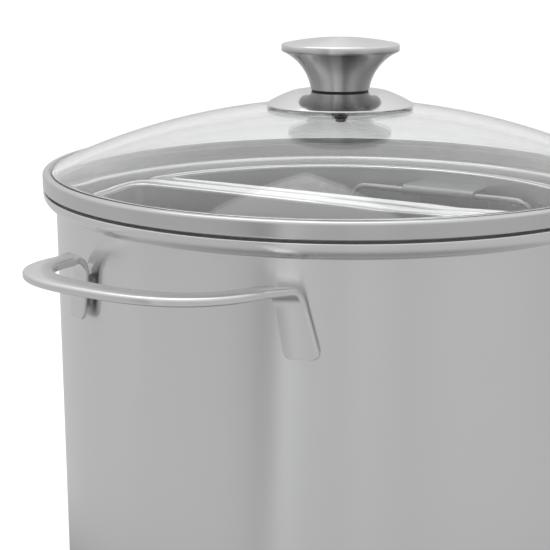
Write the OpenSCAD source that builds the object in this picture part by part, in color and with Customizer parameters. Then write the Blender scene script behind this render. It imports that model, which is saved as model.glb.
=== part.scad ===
// Water bath canner: a tall stainless pot with two welded loop handles, a domed
// glass lid with a trumpet knob, and two half-round lift-out baskets.
// Millimetres, +Z up. The origin is the centre of the base, on the surface it
// stands on. The loop handles lie along X.

/* [Pot] */
// Outside diameter of the pot body
body_d = 300; // [290:1:310]
// Height of the pot from the surface it stands on to its lip
pot_h = 270; // [230:5:320]
// Thickness of the pot wall and bottom
pot_wall = 1; // [0.8:0.1:1.2]
// Thickness of the layered base under the bottom
base_h = 6; // [5:0.5:8]
// Radius of the corner between the bottom and the wall
corner_r = 12; // [10:1:14]
// How far the flared collar stands out from the body
collar_out = 6.5; // [6:0.5:7]
// Radius of the collar's flare
flare_r = 7; // [6.8:0.1:8]

/* [Loop handles] */
// Half the outside width of the loop
loop_half_w = 60; // [55:1:65]
// Reach of the loop from the pot's centre
loop_reach = 210; // [200:1:220]
// Width of the bar at the tip of the loop
bar_tip_w = 14.3; // [12:0.1:16]
// Width of the bar along the sides of the loop
bar_side_w = 10.5; // [9:0.1:12]
// Thickness of the bar
bar_t = 3.9; // [3:0.1:5]
// Upward slope of the loop in degrees
loop_slope = 3.8; // [0:0.1:8]
// Depth of the top of the loop below the pot lip, at the wall
loop_drop = 18.4; // [16:0.2:24]
// Length of the flat tabs below the loop
tab_len = 34; // [28:1:40]

/* [Glass lid] */
// Outside radius of the dome's sphere
dome_r = 364; // [360:1:370]
// Height of the top of the dome above the pot lip
dome_rise = 42.8; // [42:0.1:44]
// Thickness of the glass
glass_t = 5; // [4:0.5:5]
// Radius of the edge of the glass
glass_edge_r = 152.4; // [152:0.1:152.6]
// Radius from the knob to the steam vent
vent_at_r = 42.8; // [42.8:0.1:60]
// Direction of the steam vent in degrees from +X
vent_angle = 211; // [180:1:240]

/* [Knob] */
// Largest radius of the knob
knob_r = 31; // [29:0.5:33]
// Radius of the foot of the knob
knob_foot_r = 15.4; // [15:0.1:16]
// Height of the knob
knob_h = 27.1; // [26:0.1:28]
// Radius of the domed plate under the knob
plate_r = 40.4; // [38.5:0.1:40.5]

/* [Baskets] */
// Outside radius of the baskets' curved walls
basket_r = 129; // [124:1:130]
// Radius of the baskets' rims
rim_r = 135; // [131:1:136]
// Gap between the two rims
rim_gap = 2; // [2:0.5:6]
// Width of the flat rim between the baskets
flat_rim_w = 12; // [10:0.5:14]
// Depth of the rims below the pot lip
rim_drop = 10; // [9:0.5:20]
// Thickness of the basket sheet
sheet = 0.8; // [0.6:0.1:1]
// Height of the basket feet
foot_h = 10; // [6:1:14]
// Pitch of the holes in the basket floors
hole_pitch = 22; // [20:1:30]
// Sideways shift of each bail from the middle of its basket
bail_shift = 8; // [0:1:10]
// Half the width of the bail
bail_half_w = 59; // [54:1:60]
// Length of the bail below its pivot
bail_len = 56; // [48:1:70]
// Diameter of the bail wire
bail_wire_d = 4; // [3:0.5:4]

/* [Hidden] */

fine = 180;
medium = 72;
small = 36;
past = 1;

steel = "#b9babb";
bright_steel = "#d2d3d4";
aluminium = "#c4c6c8";
black_rubber = "#161617";

// Pot
body_r = body_d / 2;
lip_r = body_r + collar_out;
cap_sheet = 0.8;
cap_r = body_r - corner_r - 2;

// Loop handles
loop_root = body_r - 5;
loop_power = 2.7;
loop_steps = 48;
tab_t = 2.8;
tab_stand_off = 2.4;
tab_in = 8.3;
tab_out = 3.5;
tab_in_r = body_r + tab_stand_off;
weld_r = 3;
loop_top_z = pot_h - loop_drop;

// Lid, measured from the gap between the lid and the pot lip
gap_z = pot_h + 1;
dome_z = pot_h + dome_rise - dome_r;
band_r = lip_r + 0.1;
band_sheet = 0.8;
band_low = gap_z + 0.9;
band_high = gap_z + 8.6;
band_mouth_r = glass_edge_r + 1;
skirt_r = lip_r - 5;
skirt_low = gap_z - 6;
seal_in_r = 149.2;
glass_hole_r = 4;
vent_hole_r = 2.2;
vent_bore_r = 1.3;
vent_flange_r = 3.1;
vent_flange_h = 0.45;

// Knob stack, from the glass up
glass_top_z = pot_h + dome_rise;
glass_under_z = glass_top_z - glass_t;
plate_sheet = 1;
plate_top_z = glass_top_z + 6;
plate_dome_r = 75.6;
plate_dome_z = plate_top_z - 71.4;
plate_low = plate_top_z - 7.5;
gasket_h = 0.8;
gasket_r = 15;
knob_low = plate_top_z + gasket_h;
knob_high = knob_low + knob_h;
knob_dome_r = 142.6;
knob_flare_r = 26;
knob_flare_up = 3.85;
knob_flare_x = knob_foot_r + sqrt(knob_flare_r * knob_flare_r - knob_flare_up * knob_flare_up);
screw_r = 2.5;
screw_hole_r = 3;
insert_r = 5;
insert_h = 12;
washer_r = 9;
rubber_h = 1.8;
glass_sag = 0.12;
steel_washer_h = 1;
screw_head_r = 4.6;
screw_head_h = 2.8;
screw_low = glass_under_z - rubber_h - steel_washer_h;
spacer_r = 10;

// Baskets
rim_top = pot_h - rim_drop;
rim_t = 1.6;
pot_floor = base_h + pot_wall;
floor_low = pot_floor + foot_h;
foot_gap = 0.1;
foot_r = 7;
floor_hole_r = 5;
corner_in = 8;
flat_x = rim_gap / 2 + flat_rim_w;
bail_x = 105;
bail_z = rim_top - 10.6;
bail_r = bail_wire_d / 2;
bail_bend_r = 9;
bail_clear = 0.1;
bracket_w = 47;
bracket_wall = 1.6;
bracket_web = 1.5;
bracket_plate_h = 14;
bracket_plate_t = 1.2;

// A ring between two radii and two heights
module ring(r_out, r_in, low, high) {
    translate([0, 0, low]) difference() {
        cylinder(r = r_out, h = high - low, $fn = fine);
        translate([0, 0, -past]) cylinder(r = r_in, h = high - low + 2 * past, $fn = fine);
    }
}

// Half of the pot's outline, filled, drawn inwards by t
module pot_outline(t, top) {
    mid = body_r - corner_r;
    translate([0, base_h + t]) square([mid, top - base_h - t]);
    translate([0, base_h + corner_r]) square([body_r - t, pot_h - base_h - corner_r - flare_r + 4]);
    translate([mid, base_h + corner_r]) intersection() {
        circle(r = corner_r - t, $fn = medium);
        translate([0, -corner_r]) square([corner_r, corner_r]);
    }
    intersection() {
        translate([lip_r - flare_r, pot_h - 0.6]) circle(r = flare_r - t, $fn = medium);
        translate([mid, base_h]) square([corner_r + flare_r, top - base_h]);
    }
}

module pot_body() {
    color(steel) rotate_extrude($fn = fine) difference() {
        pot_outline(0, pot_h);
        pot_outline(pot_wall, pot_h + past);
    }
}

module base_core() {
    color(aluminium) translate([0, 0, cap_sheet])
        cylinder(r = cap_r - cap_sheet, h = base_h - cap_sheet, $fn = fine);
}

module base_cap() {
    color(steel) difference() {
        rotate_extrude($fn = fine) union() {
            square([cap_r - 2, base_h]);
            translate([0, 2]) square([cap_r, base_h - 2]);
            translate([cap_r - 2, 2]) circle(r = 2, $fn = small);
        }
        translate([0, 0, cap_sheet]) cylinder(r = cap_r - cap_sheet, h = base_h, $fn = fine);
    }
}

// One quarter-plane power curve, mirrored into the outline of the loop
function loop_point(a, half_w, reach) = [
    loop_root + (reach - loop_root) * pow(sin(a), 2 / loop_power),
    half_w * sign(cos(a)) * pow(abs(cos(a)), 2 / loop_power)];

module loop_outline(half_w, reach) {
    polygon([for (i = [0:loop_steps]) loop_point(180 * i / loop_steps, half_w, reach)]);
}

// The flat tab on one side of the loop, looking along X, before it is curved
module tab_outline() {
    bottom = loop_top_z - tab_len;
    in_w = loop_half_w - tab_in;
    out_w = loop_half_w + tab_out;
    polygon([[in_w, loop_top_z], [in_w + 2.6, bottom + 15], [in_w + 5.2, bottom + 3],
        [in_w + 7.5, bottom], [out_w + 5.5, bottom], [out_w + 8.3, bottom + 3],
        [out_w, loop_top_z - bar_t], [loop_half_w, loop_top_z]]);
}

module tab_welds() {
    bottom = loop_top_z - tab_len;
    for (at = [[loop_half_w - 2, loop_top_z - 10], [loop_half_w + 1, bottom + 17], [loop_half_w + 4, bottom + 7]])
        translate([body_r - 40, at[0], at[1]]) rotate([0, 90, 0])
            cylinder(r = weld_r, h = 60, $fn = small);
}

// A loop handle on the +X side
module loop_handle() {
    difference() {
        translate([body_r, 0, loop_top_z]) rotate([0, -loop_slope, 0])
            translate([-body_r, 0, -bar_t]) linear_extrude(height = bar_t) difference() {
                loop_outline(loop_half_w, loop_reach);
                loop_outline(loop_half_w - bar_side_w, loop_reach - bar_tip_w);
            }
        cylinder(r = tab_in_r, h = pot_h, $fn = fine);
    }
    intersection() {
        ring(tab_in_r + tab_t, tab_in_r, pot_h / 2, pot_h);
        for (side = [0, 1]) mirror([0, side, 0])
            translate([body_r / 2, 0, 0]) rotate([90, 0, 90])
                linear_extrude(height = body_r) tab_outline();
    }
    intersection() {
        ring(tab_in_r + 0.5, body_r, pot_h / 2, pot_h);
        for (side = [0, 1]) mirror([0, side, 0]) tab_welds();
    }
}

module handle_right() {
    color(bright_steel) loop_handle();
}

module handle_left() {
    color(bright_steel) rotate([0, 0, 180]) loop_handle();
}

// The whole dome of glass, before its holes
module dome_shell() {
    intersection() {
        translate([0, 0, dome_z]) difference() {
            sphere(r = dome_r, $fn = fine * 2);
            sphere(r = dome_r - glass_t, $fn = fine * 2);
        }
        translate([0, 0, gap_z]) cylinder(r = glass_edge_r, h = 60, $fn = fine);
    }
}

module at_vent() {
    rotate([0, 0, vent_angle]) translate([0, 0, dome_z])
        rotate([0, asin(vent_at_r / dome_r), 0]) children();
}

module lid_glass() {
    color("#cfd8d6", 0.35) difference() {
        dome_shell();
        translate([0, 0, gap_z]) cylinder(r = glass_hole_r, h = 60, $fn = small);
        at_vent() translate([0, 0, dome_r - glass_t - 3]) cylinder(r = vent_hole_r, h = 10, $fn = small);
    }
}

module lid_seal() {
    color(black_rubber) difference() {
        union() {
            ring(band_r - band_sheet, seal_in_r, band_low + band_sheet, band_high - band_sheet);
            ring(band_mouth_r, glass_edge_r - 1, band_high - band_sheet - 0.5, band_high);
        }
        intersection() {
            translate([0, 0, dome_z]) difference() {
                sphere(r = dome_r + 20, $fn = fine * 2);
                sphere(r = dome_r - glass_t, $fn = fine * 2);
            }
            translate([0, 0, gap_z - 5]) cylinder(r = glass_edge_r, h = 60, $fn = fine);
        }
    }
}

module lid_band() {
    color(steel) {
        ring(band_r, band_r - band_sheet, band_low, band_high);
        ring(band_r - band_sheet, band_mouth_r, band_high - band_sheet, band_high);
        ring(band_r - band_sheet, seal_in_r, band_low, band_low + band_sheet);
        ring(skirt_r, skirt_r - band_sheet, skirt_low, band_low);
    }
}

module vent_grommet() {
    color(black_rubber) at_vent() translate([0, 0, dome_r]) difference() {
        union() {
            translate([0, 0, 0.1]) cylinder(r = vent_flange_r, h = vent_flange_h, $fn = small);
            translate([0, 0, -glass_t]) cylinder(r = vent_hole_r, h = glass_t + 0.5, $fn = small);
            translate([0, 0, -glass_t - 1]) cylinder(r = vent_flange_r, h = 0.9, $fn = small);
        }
        translate([0, 0, -glass_t - 2]) cylinder(r = vent_bore_r, h = glass_t + 4, $fn = small);
    }
}

module knob() {
    color(bright_steel) difference() {
        rotate_extrude($fn = fine) difference() {
            intersection() {
                translate([0, knob_low]) square([knob_r, knob_h]);
                translate([0, knob_high - knob_dome_r]) circle(r = knob_dome_r, $fn = fine * 2);
            }
            translate([knob_flare_x, knob_low - knob_flare_up]) circle(r = knob_flare_r, $fn = fine);
        }
        translate([0, 0, knob_low - past]) cylinder(r = insert_r, h = insert_h + past, $fn = small);
    }
}

module knob_insert() {
    color("#c8a860") translate([0, 0, knob_low]) difference() {
        cylinder(r = insert_r, h = insert_h, $fn = small);
        translate([0, 0, -past]) cylinder(r = screw_r, h = insert_h + 2 * past, $fn = small);
    }
}

module knob_gasket() {
    color(black_rubber) ring(gasket_r, screw_hole_r, plate_top_z, plate_top_z + gasket_h);
}

module knob_plate() {
    color(steel) difference() {
        rotate_extrude($fn = fine) difference() {
            intersection() {
                translate([0, plate_dome_z]) circle(r = plate_dome_r, $fn = fine);
                translate([0, plate_low]) square([plate_r + past, plate_top_z - plate_low]);
            }
            intersection() {
                translate([0, plate_dome_z]) circle(r = plate_dome_r - plate_sheet, $fn = fine);
                translate([0, plate_low - past])
                    square([plate_r + past, plate_top_z - plate_low + past - plate_sheet]);
            }
        }
        translate([0, 0, plate_low]) cylinder(r = screw_hole_r, h = 10, $fn = small);
    }
}

// Cut to the curve of the glass that it stands on
module plate_spacer() {
    color(black_rubber) difference() {
        ring(spacer_r, screw_hole_r, glass_under_z + 2, plate_top_z - plate_sheet);
        translate([0, 0, dome_z]) sphere(r = dome_r, $fn = fine * 2);
    }
}

module glass_washer() {
    color(black_rubber)
        ring(washer_r, screw_hole_r, glass_under_z - rubber_h, glass_under_z - glass_sag);
}

module steel_washer() {
    color(steel) ring(washer_r - 1, screw_hole_r, screw_low, screw_low + steel_washer_h);
}

module lid_screw() {
    color(bright_steel) union() {
        translate([0, 0, screw_low - screw_head_h])
            cylinder(r = screw_head_r, h = screw_head_h, $fn = small);
        translate([0, 0, screw_low - past])
            cylinder(r = screw_r, h = knob_low + insert_h - 1 - screw_low + past, $fn = small);
    }
}

// A half-round outline on the +X side, with two rounded corners
module half_round(r, x, c) {
    cx = x + c;
    cy = sqrt((r - c) * (r - c) - cx * cx);
    translate([x, -cy]) square([c, 2 * cy]);
    for (side = [-1, 1]) translate([cx, side * cy]) circle(r = c, $fn = small);
    intersection() {
        circle(r = r, $fn = fine);
        polygon([[cx, -cy], [cx * 9, -cy * 9], [r * 9, -cy * 9], [r * 9, cy * 9], [cx * 9, cy * 9], [cx, cy]]);
    }
}

module basket_ring(low, high) {
    translate([0, 0, low]) linear_extrude(height = high - low) difference() {
        half_round(basket_r, flat_x, corner_in);
        half_round(basket_r - sheet, flat_x + sheet, corner_in - sheet);
    }
}

module half_space(low, high, from_x, to_x) {
    translate([from_x, -rim_r - past, low]) cube([to_x - from_x, 2 * rim_r + 2 * past, high - low]);
}

module basket_curved_wall() {
    intersection() {
        basket_ring(floor_low + sheet, rim_top - rim_t);
        half_space(0, pot_h, flat_x + corner_in, rim_r);
    }
}

module basket_flat_wall() {
    intersection() {
        basket_ring(floor_low + sheet, rim_top - rim_t);
        half_space(0, pot_h, 0, flat_x + corner_in);
    }
}

module basket_rim() {
    translate([0, 0, rim_top - rim_t]) linear_extrude(height = rim_t) difference() {
        half_round(rim_r, rim_gap / 2, corner_in);
        half_round(basket_r - sheet, flat_x + sheet, corner_in - sheet);
    }
}

module basket_floor() {
    columns = floor((basket_r - flat_x) / hole_pitch);
    rows = floor(basket_r / hole_pitch);
    edge = basket_r - 2.4 * floor_hole_r;
    difference() {
        translate([0, 0, floor_low]) linear_extrude(height = sheet) half_round(basket_r, flat_x, corner_in);
        for (i = [0:columns], j = [-rows:rows]) {
            x = flat_x + hole_pitch * (i + 0.6);
            y = hole_pitch * j;
            if (x * x + y * y < edge * edge)
                translate([x, y, floor_low - past]) cylinder(r = floor_hole_r, h = 4, $fn = small);
        }
    }
}

module basket_feet() {
    for (at = [[flat_x + 14.2, 99], [flat_x + 14.2, -99], [113, 0]])
        translate([at[0], at[1], pot_floor + foot_gap])
            cylinder(r = foot_r, h = foot_h - foot_gap, $fn = small);
}

module basket_bail_bracket() {
    reach = basket_r - sheet;
    translate([0, -bail_shift, 0]) difference() {
        union() {
            translate([bail_x, bracket_w / 2, bail_z]) rotate([90, 0, 0])
                cylinder(r = bail_r + bracket_wall, h = bracket_w, $fn = small);
            translate([bail_x, -bracket_w / 2, bail_z + bail_r + bracket_wall - bracket_web])
                cube([reach, bracket_w, bracket_web]);
            translate([bail_x + 5, -bracket_w / 2, bail_z + bail_r + bracket_wall - bracket_plate_h])
                cube([reach, bracket_w, bracket_plate_h]);
        }
        translate([bail_x, bracket_w / 2 + past, bail_z]) rotate([90, 0, 0])
            cylinder(r = bail_r + bail_clear, h = bracket_w + 2 * past, $fn = small);
        translate([0, bail_shift, 0]) ring(reach * 2, reach, 0, pot_h);
        translate([0, bail_shift, 0]) difference() {
            cylinder(r = reach - bracket_plate_t, h = bail_z + bail_r + bracket_wall - bracket_web, $fn = fine);
            translate([0, -rim_r, bail_z - bail_r - bracket_wall - past])
                cube([bail_x + bail_r + bracket_wall, 2 * rim_r, 20]);
        }
    }
}

// A wire loop that hangs from its pivot bar along Y
module basket_bail() {
    leg = bail_half_w - bail_bend_r;
    drop = bail_len - bail_bend_r;
    translate([bail_x, -bail_shift, bail_z]) {
        for (z = [0, -bail_len]) translate([0, leg, z]) rotate([90, 0, 0])
            cylinder(r = bail_r, h = 2 * leg, $fn = small);
        for (y = [-bail_half_w, bail_half_w]) translate([0, y, -drop])
            cylinder(r = bail_r, h = drop - bail_bend_r, $fn = small);
        for (side = [0, 1]) mirror([0, side, 0]) {
            translate([0, leg, -bail_bend_r]) rotate([90, 0, 90])
                rotate_extrude(angle = 90, $fn = small) translate([bail_bend_r, 0]) circle(r = bail_r, $fn = small);
            translate([0, leg, -drop]) rotate([90, 90, 90]) mirror([0, 0, 1])
                rotate_extrude(angle = 90, $fn = small) translate([bail_bend_r, 0]) circle(r = bail_r, $fn = small);
        }
    }
}

module front() {
    color(steel) rotate([0, 0, 180]) children();
}

module rear() {
    color(steel) children();
}

module front_curved_wall() { front() basket_curved_wall(); }
module front_flat_wall() { front() basket_flat_wall(); }
module front_floor() { front() basket_floor(); }
module front_rim() { front() basket_rim(); }
module front_feet() { front() basket_feet(); }
module front_bail_bracket() { front() basket_bail_bracket(); }
module front_bail() { front() basket_bail(); }
module rear_curved_wall() { rear() basket_curved_wall(); }
module rear_flat_wall() { rear() basket_flat_wall(); }
module rear_floor() { rear() basket_floor(); }
module rear_rim() { rear() basket_rim(); }
module rear_feet() { rear() basket_feet(); }
module rear_bail_bracket() { rear() basket_bail_bracket(); }
module rear_bail() { rear() basket_bail(); }

pot_body();
base_core();
base_cap();
handle_left();
handle_right();
lid_glass();
lid_seal();
lid_band();
vent_grommet();
knob();
knob_insert();
knob_gasket();
knob_plate();
plate_spacer();
glass_washer();
steel_washer();
lid_screw();
front_curved_wall();
front_flat_wall();
front_floor();
front_rim();
front_feet();
front_bail_bracket();
front_bail();
rear_curved_wall();
rear_flat_wall();
rear_floor();
rear_rim();
rear_feet();
rear_bail_bracket();
rear_bail();
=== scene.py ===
"""Looks of a stainless water bath canner: pot, loop handles, glass lid, knob and two half-round baskets.

Lengths are worked out in millimetres and turned to metres when a piece is finished.
"""
from math import acos, asin, atan2, cos, degrees, hypot, pi, radians, sin, sqrt, tan

import bmesh
import bpy
from mathutils import Matrix, Vector


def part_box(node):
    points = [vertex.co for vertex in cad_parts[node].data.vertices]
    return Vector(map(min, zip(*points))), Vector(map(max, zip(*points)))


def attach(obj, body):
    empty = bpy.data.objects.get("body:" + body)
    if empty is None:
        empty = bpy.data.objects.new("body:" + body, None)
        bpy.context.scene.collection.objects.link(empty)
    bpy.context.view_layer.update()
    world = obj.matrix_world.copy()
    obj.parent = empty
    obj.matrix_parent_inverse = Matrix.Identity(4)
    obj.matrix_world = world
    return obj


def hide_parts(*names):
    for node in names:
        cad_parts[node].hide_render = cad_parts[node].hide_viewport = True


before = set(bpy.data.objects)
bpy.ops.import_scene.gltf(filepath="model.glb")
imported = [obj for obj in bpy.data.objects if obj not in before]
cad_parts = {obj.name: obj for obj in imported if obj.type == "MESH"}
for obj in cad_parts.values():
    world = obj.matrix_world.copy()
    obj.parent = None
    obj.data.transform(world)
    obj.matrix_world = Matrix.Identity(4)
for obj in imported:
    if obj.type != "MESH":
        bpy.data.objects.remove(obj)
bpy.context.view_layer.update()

MM = 0.001
TURN = 2 * pi
SHARP = radians(38)


# ---------------------------------------------------------------- sizes, mm

BODY_R = 150.0
WALL = 1.0
POT_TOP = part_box("pot_body")[1].z / MM
BASE_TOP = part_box("base_core")[1].z / MM
BASE_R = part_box("base_cap")[1].x / MM
CAP_SHEET = 0.8
CORNER_R = 12.0
LIP_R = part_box("pot_body")[1].x / MM
FLARE_R = 7.0
FLARE_FILLET = 1.6
LIP_ARC_DROP = 0.6

LOOP_ROOT = 145.0
LOOP_REACH = 210.0
LOOP_HALF = 60.0
LOOP_POWER = 2.7
BAR_TIP = 14.3
BAR_SIDE = 10.5
BAR_T = 3.9
LOOP_SLOPE = tan(radians(3.8))
LOOP_TOP = 251.6
TAB_IN_R = 152.4
TAB_T = 2.8
TAB_LOW = 217.6
TAB_IN_TOP = 51.7
TAB_OUT_TOP = 63.5
BEND_R = 7.0
TAB_SPREAD_IN = 5.6
TAB_SPREAD_OUT = 8.3
TAB_FOOT_R = 3.0
BAR_START = 157.5
WELDS = ((58, 241.6), (61, 234.6), (64, 224.6))

DOME_R = 364.0
DOME_Z = -51.2
GLASS_T = 5.0
GLASS_HOLE_R = 4.0
GLASS_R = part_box("lid_glass")[1].x / MM
BAND_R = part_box("lid_band")[1].x / MM
BAND_LOW = 271.3
BAND_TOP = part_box("lid_band")[1].z / MM
BAND_SHEET = 0.8
SKIRT_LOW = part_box("lid_band")[0].z / MM
SKIRT_R = 151.5
MOUTH_R = 153.2
SEAL_IN_R = 149.2
SKIN = 0.05
VENT_R = 42.8
VENT_TURN = radians(211)
VENT_BORE_R = 1.3
VENT_STEM_R = 2.2
VENT_FLANGE_R = 3.1
VENT_TAIL_R = 2.6

PLATE_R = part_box("knob_plate")[1].x / MM
PLATE_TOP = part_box("knob_plate")[1].z / MM
PLATE_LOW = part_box("knob_plate")[0].z / MM
PLATE_SHEET = 1.0
PLATE_DOME = 75.6
PLATE_DOME_Z = PLATE_TOP - 71.4
KNOB_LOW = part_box("knob")[0].z / MM
KNOB_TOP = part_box("knob")[1].z / MM
KNOB_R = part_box("knob")[1].x / MM
KNOB_FOOT = 15.4
KNOB_FLARE = 26.0
KNOB_FLARE_Z = KNOB_LOW - 3.85
KNOB_FLARE_X = KNOB_FOOT + sqrt(KNOB_FLARE ** 2 - 3.85 ** 2)
KNOB_DOME = 142.6
KNOB_BORE_R = 5.0
KNOB_BORE_DEEP = 12.0
NECK_DROP = 5.6
NECK_FADE = 1.2
STUD_R = 3.0
SPACER_LOW = 312.9
SCREW_R = 2.5
SCREW_HEAD_R = 4.6
SCREW_HEAD_H = 2.8

BASKET_R = 129.0
BASKET_FLAT = 13.0
BASKET_CORNER = 8.0
BASKET_SHEET = 0.8
RIM_R = 135.0
RIM_FLAT = 1.0
RIM_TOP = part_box("rear_rim")[1].z / MM
RIM_T = 1.6
FLOOR_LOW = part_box("rear_floor")[0].z / MM
FOOT_R = 7.0
HOLE_R = 2.6
HOLE_PITCH = 12.0
CELL = 5
BAIL_X = 105.0
BAIL_SHIFT = 8.0
BAIL_Z = 249.4
BAIL_HALF = 59.0
BAIL_DROP = 56.0
WIRE_R = 2.0
BRACKET_HALF = 23.5
EYE_R = 3.5


# ---------------------------------------------------------------- outlines

def arc(centre_r, centre_z, radius, start, end, parts=12):
    """Points of an arc, angles in degrees from the outward direction."""
    return [(centre_r + radius * cos(radians(start + (end - start) * k / parts)),
             centre_z + radius * sin(radians(start + (end - start) * k / parts)))
            for k in range(parts + 1)]


def rounded(corners, closed=False, parts=5):
    """Outline through corners given as (radius, height) or (radius, height, rounding)."""
    points = []
    count = len(corners)
    for k, corner in enumerate(corners):
        here = Vector(corner[:2])
        rounding = corner[2] if len(corner) > 2 else 0
        inside = closed or 0 < k < count - 1
        if not rounding or not inside:
            points.append(tuple(here))
            continue
        back = Vector(corners[k - 1][:2]) - here
        ahead = Vector(corners[(k + 1) % count][:2]) - here
        half = back.angle(ahead) / 2
        reach = rounding / tan(half)
        back_way, ahead_way = back.normalized(), ahead.normalized()
        centre = here + (back_way + ahead_way).normalized() * rounding / sin(half)
        start = here + back_way * reach - centre
        sweep_angle = start.angle_signed(here + ahead_way * reach - centre)
        if back.length > reach + 1.4 * rounding:
            points.append(tuple(here + back_way * (reach + 0.5 * rounding)))
        for step in range(parts + 1):
            swung = Matrix.Rotation(-sweep_angle * step / parts, 2) @ start
            points.append(tuple(centre + swung))
        if ahead.length > reach + 1.4 * rounding:
            points.append(tuple(here + ahead_way * (reach + 0.5 * rounding)))
    return points


# ---------------------------------------------------------------- mesh work

def close_up(bm):
    """Merge seams and poles, then turn every face outwards."""
    bmesh.ops.remove_doubles(bm, verts=bm.verts, dist=1e-4)
    bmesh.ops.dissolve_degenerate(bm, edges=bm.edges, dist=1e-5)
    bmesh.ops.recalc_face_normals(bm, faces=bm.faces)


def turned(outline, closed=False, steps=256):
    """A piece turned about the upright axis from its outline."""
    bm = bmesh.new()
    verts = [bm.verts.new((r, 0, z)) for r, z in outline]
    ends = verts[1:] + verts[:1] if closed else verts[1:]
    edges = [bm.edges.new(pair) for pair in zip(verts, ends)]
    bmesh.ops.spin(bm, geom=verts + edges, cent=(0, 0, 0), axis=(0, 0, 1), angle=TURN,
                   steps=steps, use_merge=True)
    close_up(bm)
    return bm


def laid_out(columns, rows, place):
    """A grid whose points are put where place(across, along) says, each from 0 to 1."""
    bm = bmesh.new()
    bmesh.ops.create_grid(bm, x_segments=columns, y_segments=rows, size=1)
    for vert in bm.verts:
        vert.co = place((vert.co.x + 1) / 2, (vert.co.y + 1) / 2)
    bmesh.ops.remove_doubles(bm, verts=bm.verts, dist=1e-4)
    return bm


def capped(bm):
    """Fill the open ends of a bar."""
    bmesh.ops.holes_fill(bm, edges=[e for e in bm.edges if e.is_boundary], sides=0)
    close_up(bm)
    return bm


def moved(bm, matrix):
    bmesh.ops.transform(bm, matrix=matrix, verts=bm.verts)
    return bm


def joined(*parts):
    """One bmesh from several."""
    whole = bmesh.new()
    for part in parts:
        mesh = bpy.data.meshes.new("part")
        part.to_mesh(mesh)
        part.free()
        whole.from_mesh(mesh)
        bpy.data.meshes.remove(mesh)
    return whole


def finished(node, bm, finish, body, slot):
    """Turn a bmesh in millimetres into a shown piece that stands for its CAD node."""
    name = f"{node}_piece"
    bmesh.ops.scale(bm, vec=(MM, MM, MM), verts=bm.verts)
    for face in bm.faces:
        face.smooth = True
    for edge in bm.edges:
        edge.smooth = edge.is_manifold and edge.calc_face_angle(0) < SHARP
    mesh = bpy.data.meshes.new(name)
    bm.to_mesh(mesh)
    bm.free()
    mesh.materials.append(finish.material)
    piece = bpy.data.objects.new(name, mesh)
    bpy.context.scene.collection.objects.link(piece)
    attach(piece, body)
    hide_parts(node)


# ---------------------------------------------------------------- finishes

class Value:
    """A socket that can be used in plain arithmetic."""

    def __init__(self, finish, socket):
        self.finish = finish
        self.socket = socket

    def maths(self, operation, first, second):
        return self.finish.node("ShaderNodeMath", {"operation": operation}, {0: first, 1: second})

    def __add__(self, other):
        return self.maths("ADD", self, other)

    def __radd__(self, other):
        return self.maths("ADD", other, self)

    def __sub__(self, other):
        return self.maths("SUBTRACT", self, other)

    def __rsub__(self, other):
        return self.maths("SUBTRACT", other, self)

    def __mul__(self, other):
        return self.maths("MULTIPLY", self, other)

    def __rmul__(self, other):
        return self.maths("MULTIPLY", other, self)

    def __truediv__(self, other):
        return self.maths("DIVIDE", self, other)

    def __pow__(self, other):
        return self.maths("POWER", self, other)


class Finish:
    """A material, built from one Principled shader."""

    def __init__(self, name, **constants):
        self.material = bpy.data.materials.new(name)
        self.material.use_nodes = True
        self.tree = self.material.node_tree
        self.shader = self.tree.nodes["Principled BSDF"]
        for socket, value in constants.items():
            self.shader.inputs[socket.replace("_", " ")].default_value = value

    def node(self, kind, settings=None, inputs=None, output=0):
        made = self.tree.nodes.new(kind)
        for setting, value in (settings or {}).items():
            if setting == "stops":
                ramp = made.color_ramp
                while len(ramp.elements) < len(value):
                    ramp.elements.new(0.5)
                for element, (position, colour) in zip(ramp.elements, value):
                    element.position = position
                    element.color = (*colour, 1)
            else:
                setattr(made, setting, value)
        for socket, value in (inputs or {}).items():
            if isinstance(value, Value):
                self.tree.links.new(value.socket, made.inputs[socket])
            elif isinstance(value, bpy.types.NodeSocket):
                self.tree.links.new(value, made.inputs[socket])
            else:
                made.inputs[socket].default_value = value
        return Value(self, made.outputs[output])

    def place(self, scale=(1, 1, 1)):
        """Object coordinates, stretched by scale."""
        where = self.node("ShaderNodeTexCoord", output="Object")
        return self.node("ShaderNodeMapping", None, {"Vector": where, "Scale": scale})

    def parts_of(self, vector):
        """The x, y and z of a vector."""
        x = self.node("ShaderNodeSeparateXYZ", None, {0: vector})
        return x, Value(self, x.socket.node.outputs[1]), Value(self, x.socket.node.outputs[2])

    def noise(self, where, scale, detail=2.0, roughness=0.5):
        return self.node("ShaderNodeTexNoise", None,
                         {"Vector": where, "Scale": scale, "Detail": detail, "Roughness": roughness})

    def mixed(self, amount, low, high):
        return self.node("ShaderNodeMix", {"data_type": "RGBA"},
                         {"Factor": amount, 6: low, 7: high}, output=2)

    def ranged(self, value, low, high, to_low, to_high):
        return self.node("ShaderNodeMapRange", None, {"Value": value, "From Min": low, "From Max": high,
                                                      "To Min": to_low, "To Max": to_high})

    def feed(self, socket, value):
        self.tree.links.new(value.socket, self.shader.inputs[socket])
        return self

    def bumped(self, height, distance):
        normal = self.node("ShaderNodeBump", None, {"Height": height, "Distance": distance})
        return self.feed("Normal", normal)


def by_bearing(finish, across, along, tones):
    """Tone from a list of (turns from -X, tone), by bearing about the upright axis."""
    bearing = along.maths("ARCTAN2", along, across) / TURN + 0.5
    stops = [(turn, (tone, tone, tone)) for turn, tone in tones]
    return finish.node("ShaderNodeValToRGB", {"stops": stops}, {0: bearing})


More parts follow.
